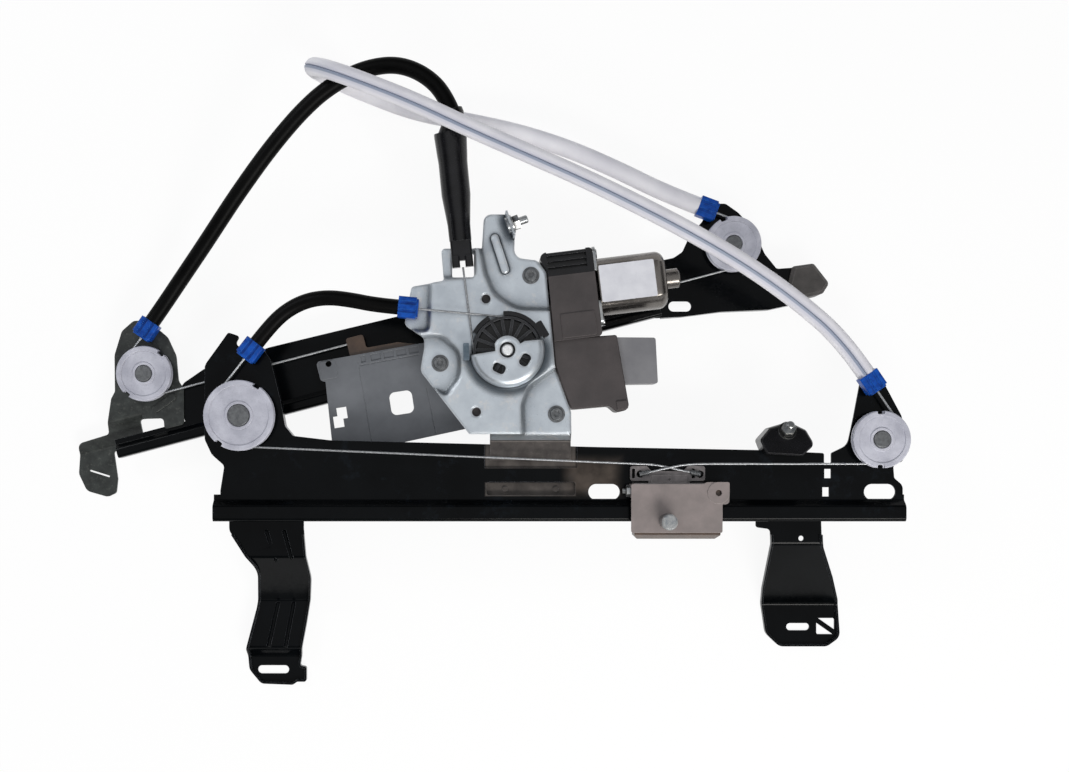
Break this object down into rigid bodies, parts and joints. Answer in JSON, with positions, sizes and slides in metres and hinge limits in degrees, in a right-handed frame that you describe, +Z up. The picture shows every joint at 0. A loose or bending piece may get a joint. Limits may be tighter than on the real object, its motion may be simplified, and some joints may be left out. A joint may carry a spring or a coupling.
{
  "type": "window regulator",
  "caption": "Two-rail cable window regulator: motor and cable drum on a pressed plate drive two glass carriers along stamped rails.",
  "frame": {"origin": "on the floor under the middle of the footprint, cords left out", "axes": "+Z up from the floor to the visible face, +X along the lower rail towards its right pulley, +Y from the lower rail towards the motor"},
  "size_m": [0.6499, 0.4906, 0.1172],
  "materials": {
    "black_coated_steel": "gloss black electrocoat",
    "black_moulding": "moulded glass-filled black plastic",
    "bare_bracket_steel": "dark uncoated pressed steel",
    "bumper_rubber": "moulded rubber",
    "galvanised_steel": "galvanised pressed steel",
    "zinc_hardware": "zinc plated",
    "rivet_steel": "turned steel, dark",
    "natural_nylon": "natural white nylon",
    "drum_nylon": "black nylon",
    "bronze_bush": "sintered bronze",
    "grey_moulding": "moulded grey plastic",
    "motor_steel": "zinc plated drawn steel",
    "motor_core": "laminated iron, ferrite",
    "blue_moulding": "moulded blue plastic",
    "spring_steel": "oiled spring wire",
    "black_sheath": "black foam-covered sheath",
    "white_sheath": "white extruded sheath",
    "steel_cable": "galvanised stranded wire",
    "carrier_steel": "zinc plated pressed steel",
    "carrier_moulding": "moulded acetal",
    "carrier_plate_coated": "grey coated pressed steel"
  },
  "bodies": {
    "root": {"lower_rail": "black_coated_steel", "left_leg_bracket": "black_coated_steel", "right_leg_bracket": "black_coated_steel", "stud_block": "drum_nylon", "studs": "zinc_hardware", "stud_nuts": "zinc_hardware", "upper_rail": "black_coated_steel", "upper_left_bracket": "bare_bracket_steel", "end_bumper": "bumper_rubber", "lower_left_rivet": "rivet_steel", "lower_right_rivet": "rivet_steel", "upper_left_rivet": "rivet_steel", "upper_right_rivet": "rivet_steel", "gear_plate": "galvanised_steel", "plate_screws": "rivet_steel", "drum_guard": "drum_nylon", "gearbox_housing": "black_moulding", "gearbox_cover": "black_moulding", "output_bushes": "bronze_bush", "control_box": "black_moulding", "connector": "grey_moulding", "motor_can": "motor_steel", "motor_screws": "zinc_hardware", "magnets": "motor_core", "brush_holder": "motor_core", "shaft_bushes": "bronze_bush", "plate_cable_guide": "blue_moulding", "lower_left_cable_guide": "blue_moulding", "lower_right_cable_guide": "blue_moulding", "upper_right_cable_guide": "blue_moulding", "upper_left_cable_guide": "blue_moulding", "tensioner_sleeve": "drum_nylon", "tensioner_spring": "spring_steel", "tensioner_boot": "bumper_rubber", "short_sheath": "black_sheath", "long_sheath": "black_sheath", "white_sheath": "white_sheath", "lower_left_cable": "steel_cable", "crossing_cable": "steel_cable", "upper_left_cable": "steel_cable"},
    "lower_carrier": {"lower_carrier_plate": "carrier_steel", "glass_pin": "zinc_hardware", "guide_bolt": "zinc_hardware", "lower_carrier_slider": "carrier_moulding", "lower_cable_ends": "steel_cable"},
    "upper_carrier": {"upper_carrier_plate": "carrier_plate_coated", "upper_carrier_slider": "carrier_moulding"},
    "drum": {"cable_drum": "drum_nylon", "drum_cable": "steel_cable", "output_shaft": "zinc_hardware", "worm_wheel": "natural_nylon"},
    "lower_left_wheel": {"lower_left_pulley": "natural_nylon"},
    "lower_right_wheel": {"lower_right_pulley": "natural_nylon"},
    "upper_left_wheel": {"upper_left_pulley": "natural_nylon"},
    "upper_right_wheel": {"upper_right_pulley": "natural_nylon"},
    "rotor": {"armature": "motor_core"}
  },
  "joints": [
    {"name": "rotor_spin", "type": "hinge", "parent": "root", "child": "rotor", "pos_m": [0.08906, 0.0909, 0.058], "axis": [0.9925, 0.1219, 0], "range_deg": [-24512.63, 10881.22]},
    {"name": "lower_carrier_slide", "type": "slide", "parent": "root", "child": "lower_carrier", "axis": [1, 0, 0], "range_m": [-0.2051, 0.0911]},
    {"name": "upper_carrier_slide", "type": "slide", "parent": "root", "child": "upper_carrier", "axis": [0.9673, 0.2538, 0], "range_m": [-0.0911, 0.2051]},
    {"name": "drum_turn", "type": "hinge", "parent": "root", "child": "drum", "pos_m": [0.01936, 0.0413, 0.076], "axis": [0, 0, 1], "range_deg": [-510.99, 226.86]},
    {"name": "lower_left_turn", "type": "hinge", "parent": "root", "child": "lower_left_wheel", "pos_m": [-0.18374, -0.0075, 0.07], "axis": [0, 0, 1], "range_deg": [-500.11, 222.03]},
    {"name": "lower_right_turn", "type": "hinge", "parent": "root", "child": "lower_right_wheel", "pos_m": [0.30316, -0.0257, 0.07], "axis": [0, 0, 1], "range_deg": [-635.27, 282.02]},
    {"name": "upper_left_turn", "type": "hinge", "parent": "root", "child": "upper_left_wheel", "pos_m": [-0.26594, 0.0266, 0.027], "axis": [0, 0, 1], "range_deg": [-282.02, 635.27]},
    {"name": "upper_right_turn", "type": "hinge", "parent": "root", "child": "upper_right_wheel", "pos_m": [0.1993, 0.12901, 0.027], "axis": [0, 0, 1], "range_deg": [-282.02, 635.27]}
  ],
  "couplings": [
    {"joint": "lower_carrier_slide", "follows": "rotor_spin", "m_per_rad": 0.00047917},
    {"joint": "upper_carrier_slide", "follows": "rotor_spin", "m_per_rad": -0.00047917},
    {"joint": "drum_turn", "follows": "rotor_spin", "ratio": 0.020833},
    {"joint": "lower_left_turn", "follows": "rotor_spin", "ratio": 0.02039},
    {"joint": "lower_right_turn", "follows": "rotor_spin", "ratio": 0.025901},
    {"joint": "upper_left_turn", "follows": "rotor_spin", "ratio": -0.025901},
    {"joint": "upper_right_turn", "follows": "rotor_spin", "ratio": -0.025901}
  ]
}
